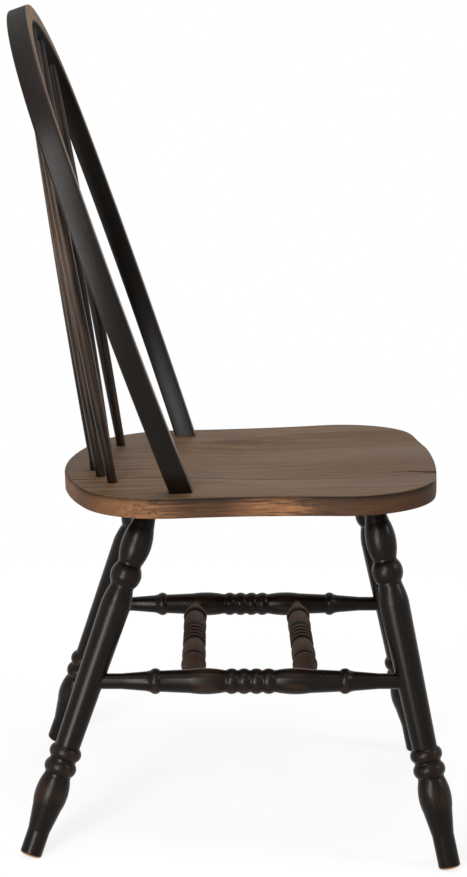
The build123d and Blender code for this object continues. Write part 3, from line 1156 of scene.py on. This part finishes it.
@dataclass
class Bow:
    """The bent hoop: a rounded bar that follows side, shoulder and crown arcs in one leaning plane."""

    ALONG: ClassVar[str] = "along"
    AROUND: ClassVar[str] = "around"

    foot_middle: tuple[float, float] = (0.0604, 0.4453)
    lean: float = 21.15
    foot_x: float = 0.183
    flare: float = 0.055
    widest: float = 0.285
    rise: float = 0.584
    shoulder_drop: float = 0.1635
    crown_angle: float = 60.0
    thickness: float = 0.021
    depth: float = 0.026
    edge_round: float = 0.0026
    round_points: int = 5
    sunk: float = 0.02
    arc_step: float = 0.004

    def front(self) -> Vector:
        """Direction square to the hoop's plane, to the front of the chair."""
        return Vector((0.0, -cos(radians(self.lean)), sin(radians(self.lean))))

    def plane(self) -> Matrix:
        """Place of the hoop's plane: X sideways, Y up the hoop, Z to the front."""
        across = Vector((1.0, 0.0, 0.0))
        front = self.front()
        turn = Matrix((across, front.cross(across), front)).transposed().to_4x4()
        return Matrix.Translation((0.0, *self.foot_middle)) @ turn

    def arcs(self) -> list[tuple[Vector, float, float, float]]:
        """Half of the middle line, from below the left foot up to the crown.

        Returns:
            Centre, radius, start and end angle of each arc, each tangent to the next.
        """
        side_radius = (self.flare**2 + self.widest**2) / (2 * self.flare)
        side = Vector((self.foot_x + self.flare - side_radius, self.widest))
        start = -asin(self.widest / side_radius) - self.sunk / side_radius
        low = asin((self.rise - self.shoulder_drop - self.widest) / side_radius)
        high = radians(self.crown_angle)
        shoulder_x = side.x + side_radius * cos(low)
        shoulder_radius = (self.shoulder_drop * cos(high) - (1 - sin(high)) * shoulder_x) / (
            sin(high - low) + cos(high) - cos(low)
        )
        crown_radius = (shoulder_x - shoulder_radius * (cos(low) - cos(high))) / cos(high)
        shoulder = side + Vector((cos(low), sin(low))) * (side_radius - shoulder_radius)
        crown = Vector((0.0, self.rise - crown_radius))
        return [
            (side, side_radius, start, low),
            (shoulder, shoulder_radius, low, high),
            (crown, crown_radius, high, pi / 2),
        ]

    def length(self) -> float:
        """Length of the middle line, from end to end."""
        return 2 * sum(radius * (end - start) for _, radius, start, end in self.arcs())

    def middle_line(self) -> list[Vector]:
        """Points along the middle line, from the left end to the right one, in the hoop's plane."""
        half = []
        for centre, radius, start, end in self.arcs():
            count = max(2, round(radius * (end - start) / self.arc_step))
            for i in range(count):
                angle = start + (end - start) * i / count
                point = centre + radius * Vector((cos(angle), sin(angle)))
                half.append(point.to_3d())
        crown = [Vector((0.0, self.rise, 0.0))]
        return half + crown + [Vector((-p.x, p.y, 0.0)) for p in reversed(half)]

    def sweep(self) -> bpy.types.NodeTree:
        """Tree that runs a rounded bar along the piece's own edges.

        Returns:
            The tree, with the bar's sizes and its finish as inputs.
        """
        inputs = {"Path": "Geometry", "Thickness": "Float", "Depth": "Float", "Edge Round": "Float"}
        inputs |= {"Round Points": "Int", "Finish": "Material"}
        nodes, (path, thickness, depth, edge_round, points, finish) = open_tree("bent_bar", inputs)
        line = nodes.value("GeometryNodeMeshToCurve", {}, {"Mesh": path})
        line = nodes.value("GeometryNodeSetCurveNormal", {"mode": "Z_UP"}, {"Curve": line})
        line = self.measured(nodes, line, self.ALONG)
        sockets = {"Width": thickness, "Height": depth}
        section = nodes.value("GeometryNodeCurvePrimitiveQuadrilateral", {}, sockets)
        sockets = {"Curve": section, "Count": points, "Radius": edge_round}
        section = nodes.value("GeometryNodeFilletCurve", {"mode": "POLY"}, sockets)
        section = self.measured(nodes, section, self.AROUND)
        sockets = {"Curve": line, "Profile Curve": section, "Fill Caps": True}
        return close_tree(nodes, nodes.value("GeometryNodeCurveToMesh", {}, sockets), finish)

    def measured(self, nodes: NodeBook, line: Value, name: str) -> Value:
        """Store how far along a line each of its points lies, for the finish to read.

        Args:
            nodes: The tree's nodes.
            line: The line.
            name: The name that the length is stored under.

        Returns:
            The line with the lengths on it.
        """
        walked = nodes.value("GeometryNodeSplineParameter", output="Length")
        settings = {"data_type": "FLOAT", "domain": "POINT"}
        sockets = {"Geometry": line, "Name": name, "Value": walked}
        return nodes.value("GeometryNodeStoreNamedAttribute", settings, sockets)

    def build(self, finish: BowStain, seat: Seat) -> None:
        """Make the hoop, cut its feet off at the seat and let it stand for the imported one.

        Args:
            finish: The hoop's stain.
            seat: The seat that the hoop stands on.
        """
        sizes = {
            "Thickness": self.thickness,
            "Depth": self.depth,
            "Edge Round": self.edge_round,
            "Round Points": self.round_points,
            "Finish": finish.on_bow("bow_stain", self),
        }
        bent = evaluated(line_of(self.middle_line()), self.sweep(), sizes)
        bent.transform(self.plane())
        cut_off(bent, Vector((0.0, *self.foot_middle)), seat.up())
        stand_in(bent, "bent_bow", "bow")


@dataclass
class BackRest:
    """The bent bow, its spindles and the screws in its feet."""

    seat: Seat
    spindle_count: int = 7
    spindle: Turning = Turning(crest=(0.0048, 0.0066))
    bow: Bow = field(default_factory=Bow)
    bow_finish: BowStain = BowStain()
    spindle_finish: DarkStain = DarkStain(rubbed=(80, 61, 48), rub=0.7)
    steel: ScrewSteel = ScrewSteel()

    def build(self) -> None:
        """Make the bow and dress the spindles and the screws."""
        up = Vector((0, 0, 1))
        for number in range(1, self.spindle_count + 1):
            node = f"spindle_{number}"
            place = Placement.of_turned(node, up)
            dress(node, self.spindle_finish.on_turned(f"{node}_stain", place, self.spindle))
        self.bow.build(self.bow_finish, self.seat)
        dress("bow_screws", self.steel.on_screw("screw_steel"))


@dataclass(frozen=True)
class Lamp:
    """A soft lamp: where it hangs, its width and height, its watts, and whether gloss shows it."""

    name: str
    place: Triple
    size: tuple[float, float]
    power: float
    mirrored: bool = True

    def hang(self, target: Triple) -> None:
        """Hang the lamp in the scene.

        Args:
            target: What it looks at.
        """
        data = bpy.data.lights.new(self.name, "AREA")
        data.shape = "RECTANGLE"
        data.size, data.size_y = self.size
        data.energy = self.power
        lamp = bpy.data.objects.new(self.name, data)
        lamp.location = self.place
        aim = Vector(target) - Vector(self.place)
        lamp.rotation_euler = aim.to_track_quat("-Z", "Y").to_euler()
        lamp.visible_glossy = self.mirrored
        bpy.context.scene.collection.objects.link(lamp)


@dataclass
class Studio:
    """Pale floor, soft light, white surround and the camera."""

    SEEN: ClassVar[tuple[str, ...]] = ("Is Camera Ray", "Is Glossy Ray", "Is Transmission Ray")

    # Camera, with its focal length and the picture's height in pixels
    sensor: float = 36.0
    focal_length: float = 2120.0
    picture_height: float = 877.0
    eye: Triple = (-2.6229, 0.0361, 0.9661)
    forward: Triple = (0.98292, -0.014178, -0.183474)
    right: Triple = (-0.00847, -0.99946, 0.031856)
    # Floor, surround and lamps
    floor_reach: float = 40.0
    floor_colour: Colour = (246, 246, 245)
    floor_rough: float = 0.9
    floor_shine: float = 0.1
    floor_glow: float = 0.8
    floor_fade: Span = (0.5, 1.3)
    sky: float = 0.26
    target: Triple = (0.0, 0.0, 0.5)
    lamps: tuple[Lamp, ...] = (
        Lamp("high_side", (-2.2, 0.8, 1.42), (0.46, 0.8), 38.0),
        Lamp("low_side", (-2.0, 0.95, 0.4), (0.8, 0.6), 36.0),
        Lamp("front", (-0.7, -2.4, 1.9), (0.9, 0.9), 22.0),
        Lamp("top", (-0.4, 0.1, 2.7), (1.2, 1.2), 22.0),
        Lamp("far_side", (2.2, -0.4, 1.0), (1.6, 1.6), 36.0, mirrored=False),
    )

    def build(self) -> None:
        """Set up the whole studio."""
        self.camera()
        self.floor()
        self.surround()
        for lamp in self.lamps:
            lamp.hang(self.target)
        bpy.context.scene.view_settings.view_transform = "Standard"

    def camera(self) -> None:
        """Stand the camera where the photograph was taken from."""
        data = bpy.data.cameras.new("camera")
        data.lens = self.sensor * self.focal_length / self.picture_height
        data.sensor_width = self.sensor
        camera = bpy.data.objects.new("camera", data)
        back = -Vector(self.forward).normalized()
        right = Vector(self.right)
        across = (right - back * right.dot(back)).normalized()
        turn = Matrix((across, back.cross(across), back)).transposed().to_4x4()
        camera.matrix_world = Matrix.Translation(self.eye) @ turn
        bpy.context.scene.collection.objects.link(camera)
        bpy.context.scene.camera = camera

    def seen(self, nodes: NodeBook) -> Value:
        """Tell what is looked at, straight, mirrored or through glass, from what only gives light.

        Args:
            nodes: The nodes of a material or of the world.

        Returns:
            1 where it is looked at, and else 0.
        """
        paths = nodes.add("ShaderNodeLightPath")
        straight, mirrored, through = (Value(nodes, paths.outputs[ray]) for ray in self.SEEN)
        return straight.most(mirrored).most(through)

    def floor(self) -> None:
        """Lay a pale floor that keeps the chair's shadow and runs out into white."""
        mesh = bpy.data.meshes.new("floor")
        side = self.floor_reach
        square = [(-side, -side, 0), (side, -side, 0), (side, side, 0), (-side, side, 0)]
        mesh.from_pydata(square, [], [(0, 1, 2, 3)])
        floor = bpy.data.objects.new("floor", mesh)
        bpy.context.scene.collection.objects.link(floor)
        material, nodes, shader = new_material("floor_paint")
        sockets = {"Base Color": linear(self.floor_colour), "Roughness": self.floor_rough}
        nodes.join(shader, sockets | {"Specular IOR Level": self.floor_shine})
        place = nodes.value("ShaderNodeTexCoord", output="Object")
        away = nodes.value("ShaderNodeVectorMath", {"operation": "LENGTH"}, {0: place}, "Value")
        share = away.step(*self.floor_fade).most(self.floor_glow) * self.seen(nodes)
        white = nodes.value("ShaderNodeEmission", {}, {"Color": WHITE, "Strength": 1.0})
        sockets = {0: share, 1: Value(nodes, shader.outputs[0]), 2: white}
        surface = nodes.value("ShaderNodeMixShader", {}, sockets)
        nodes.join(nodes.tree.nodes["Material Output"], {"Surface": surface})
        mesh.materials.append(material)

    def surround(self) -> None:
        """White where it is seen or mirrored, and a plain even light elsewhere."""
        world = bpy.data.worlds.new("surround")
        bpy.context.scene.world = world
        world.use_nodes = True
        nodes = NodeBook(world.node_tree)
        strength = self.seen(nodes).between(self.sky, 1.0)
        nodes.join(nodes.tree.nodes["Background"], {"Color": WHITE, "Strength": strength})


def main() -> None:
    """Dress the chair and light it."""
    logging.basicConfig(level=logging.INFO)
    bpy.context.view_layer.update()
    seat = Seat()
    for assembly in (seat, Undercarriage(), BackRest(seat), Studio()):
        assembly.build()
        log.info("%s is built", type(assembly).__name__)


if __name__ == "__main__":
    main()
